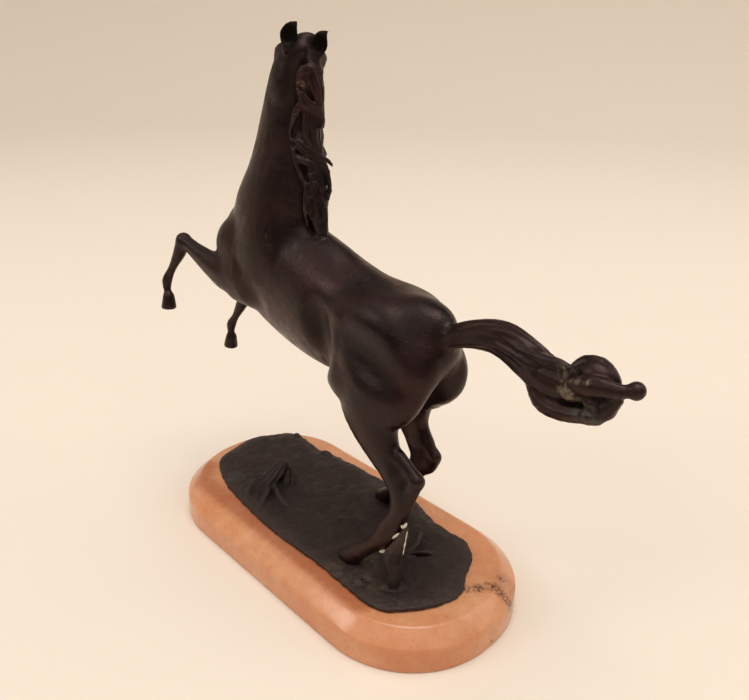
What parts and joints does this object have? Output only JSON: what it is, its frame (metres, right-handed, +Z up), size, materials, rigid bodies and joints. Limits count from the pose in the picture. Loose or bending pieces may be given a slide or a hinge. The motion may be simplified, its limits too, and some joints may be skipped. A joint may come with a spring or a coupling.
{
  "type": "horse sculpture",
  "caption": "Cast bronze horse rising on its hind legs with head turned aside and tail streaming back, on a thin bronze ground and a rounded, chamfered marble plinth.",
  "frame": {"origin": "middle of the plinth's underside", "axes": "+X the way the horse faces, along the plinth's length; +Y the horse's left; +Z up"},
  "size_m": [0.2677, 0.1, 0.2537],
  "materials": {
    "marble": "polished salmon marble with a brown vein",
    "ground_bronze": "rough cast bronze, dark brown patina with a little green",
    "horse_bronze": "satin bronze, worn black-brown patina"
  },
  "bodies": {
    "root": {"marble_plinth": "marble", "bronze_ground": "ground_bronze", "bronze_horse": "horse_bronze"}
  },
  "joints": []
}
